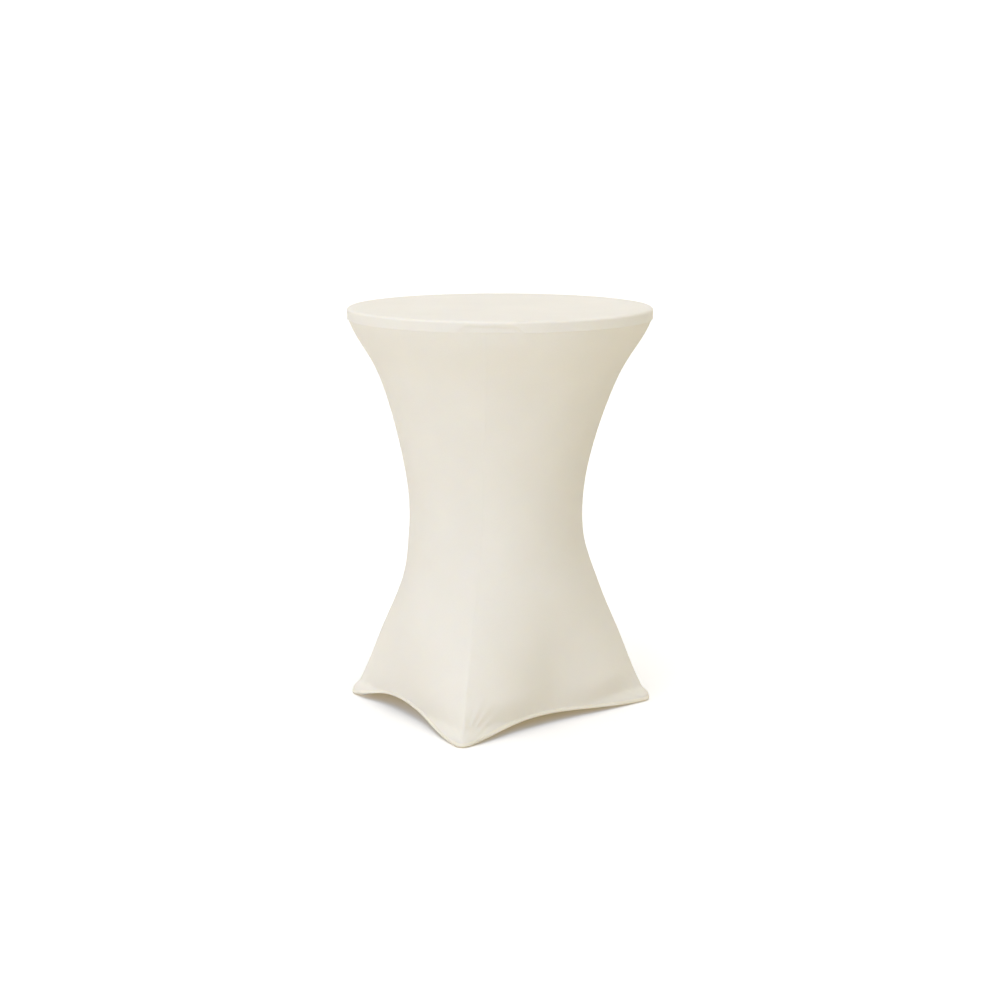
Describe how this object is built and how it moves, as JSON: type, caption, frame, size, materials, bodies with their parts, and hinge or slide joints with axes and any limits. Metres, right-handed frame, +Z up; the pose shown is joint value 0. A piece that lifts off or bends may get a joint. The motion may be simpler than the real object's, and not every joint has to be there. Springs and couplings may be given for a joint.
{
  "type": "standing table with fitted tablecloth",
  "caption": "Round standing table in a fitted stretch tablecloth that narrows to a waist and spreads to a pocket over each foot; folding tube frame inside.",
  "frame": {"origin": "on the floor, under the middle of the round top", "axes": "+Z up; X along the long side of the four feet, the way the frames fold; Y along the pivot of the crossed frames, with -Y the front"},
  "size_m": [0.8142, 0.8142, 1.1],
  "materials": {
    "stretch_knit": "matt ivory polyester and elastane knit",
    "hem_elastic": "turned and stitched elastic hem in the same ivory",
    "moulded_top": "fine pebble grain, moulded polyethylene",
    "bracket_nylon": "moulded black nylon",
    "powder_coat": "grey powder coat on steel tube",
    "foot_rubber": "matt black rubber",
    "zinc_hardware": "bright zinc plate"
  },
  "bodies": {
    "outer_frame": {"outer_leg_front": "powder_coat", "outer_leg_back": "powder_coat", "outer_top_bar": "powder_coat", "outer_low_rail": "powder_coat", "outer_foot_cap_front": "foot_rubber", "outer_foot_cap_back": "foot_rubber", "pivot_bolt_front": "zinc_hardware", "pivot_bolt_back": "zinc_hardware", "pivot_spacer_front": "bracket_nylon", "pivot_spacer_back": "bracket_nylon", "pivot_nut_front": "zinc_hardware", "pivot_nut_back": "zinc_hardware"},
    "inner_frame": {"inner_leg_front": "powder_coat", "inner_leg_back": "powder_coat", "inner_top_bar": "powder_coat", "inner_low_rail": "powder_coat", "inner_foot_cap_front": "foot_rubber", "inner_foot_cap_back": "foot_rubber"},
    "table_top": {"tabletop": "moulded_top", "hinge_saddle_front": "bracket_nylon", "hinge_saddle_back": "bracket_nylon", "bar_rest_front": "bracket_nylon", "bar_rest_back": "bracket_nylon", "saddle_screw_front_1": "zinc_hardware", "saddle_screw_front_2": "zinc_hardware", "saddle_screw_back_1": "zinc_hardware", "saddle_screw_back_2": "zinc_hardware", "rest_screw_front_1": "zinc_hardware", "rest_screw_front_2": "zinc_hardware", "rest_screw_back_1": "zinc_hardware", "rest_screw_back_2": "zinc_hardware"},
    "cover": {"cover_top_panel": "stretch_knit", "rim_welt": "stretch_knit", "skirt_panel_front": "stretch_knit", "skirt_panel_back": "stretch_knit", "skirt_panel_left": "stretch_knit", "skirt_panel_right": "stretch_knit", "hem_elastic_front": "hem_elastic", "hem_elastic_back": "hem_elastic", "hem_elastic_left": "hem_elastic", "hem_elastic_right": "hem_elastic", "foot_pocket_front_left": "stretch_knit", "foot_pocket_front_right": "stretch_knit", "foot_pocket_back_left": "stretch_knit", "foot_pocket_back_right": "stretch_knit"}
  },
  "joints": [
    {"name": "scissor_fold", "type": "hinge", "parent": "outer_frame", "child": "inner_frame", "pos_m": [0, 0, 0.57], "axis": [0, -1, 0], "range_deg": [0, 50]},
    {"name": "top_tilt", "type": "hinge", "parent": "outer_frame", "child": "table_top", "pos_m": [-0.26997, 0, 1.062], "axis": [0, -1, 0], "range_deg": [0, 112]},
    {"name": "cover_lift", "type": "slide", "parent": "outer_frame", "child": "cover", "axis": [0, 0, 1], "range_m": [0, 1.8], "deforming": ["skirt_panel_front", "skirt_panel_back", "skirt_panel_left", "skirt_panel_right", "hem_elastic_front", "hem_elastic_back", "hem_elastic_left", "hem_elastic_right", "foot_pocket_front_left", "foot_pocket_front_right", "foot_pocket_back_left", "foot_pocket_back_right"]}
  ],
  "couplings": [
    {"joint": "top_tilt", "follows": "scissor_fold", "ratio": 2.24},
    {"joint": "cover_lift", "follows": "scissor_fold", "m_per_rad": 2.0626}
  ]
}
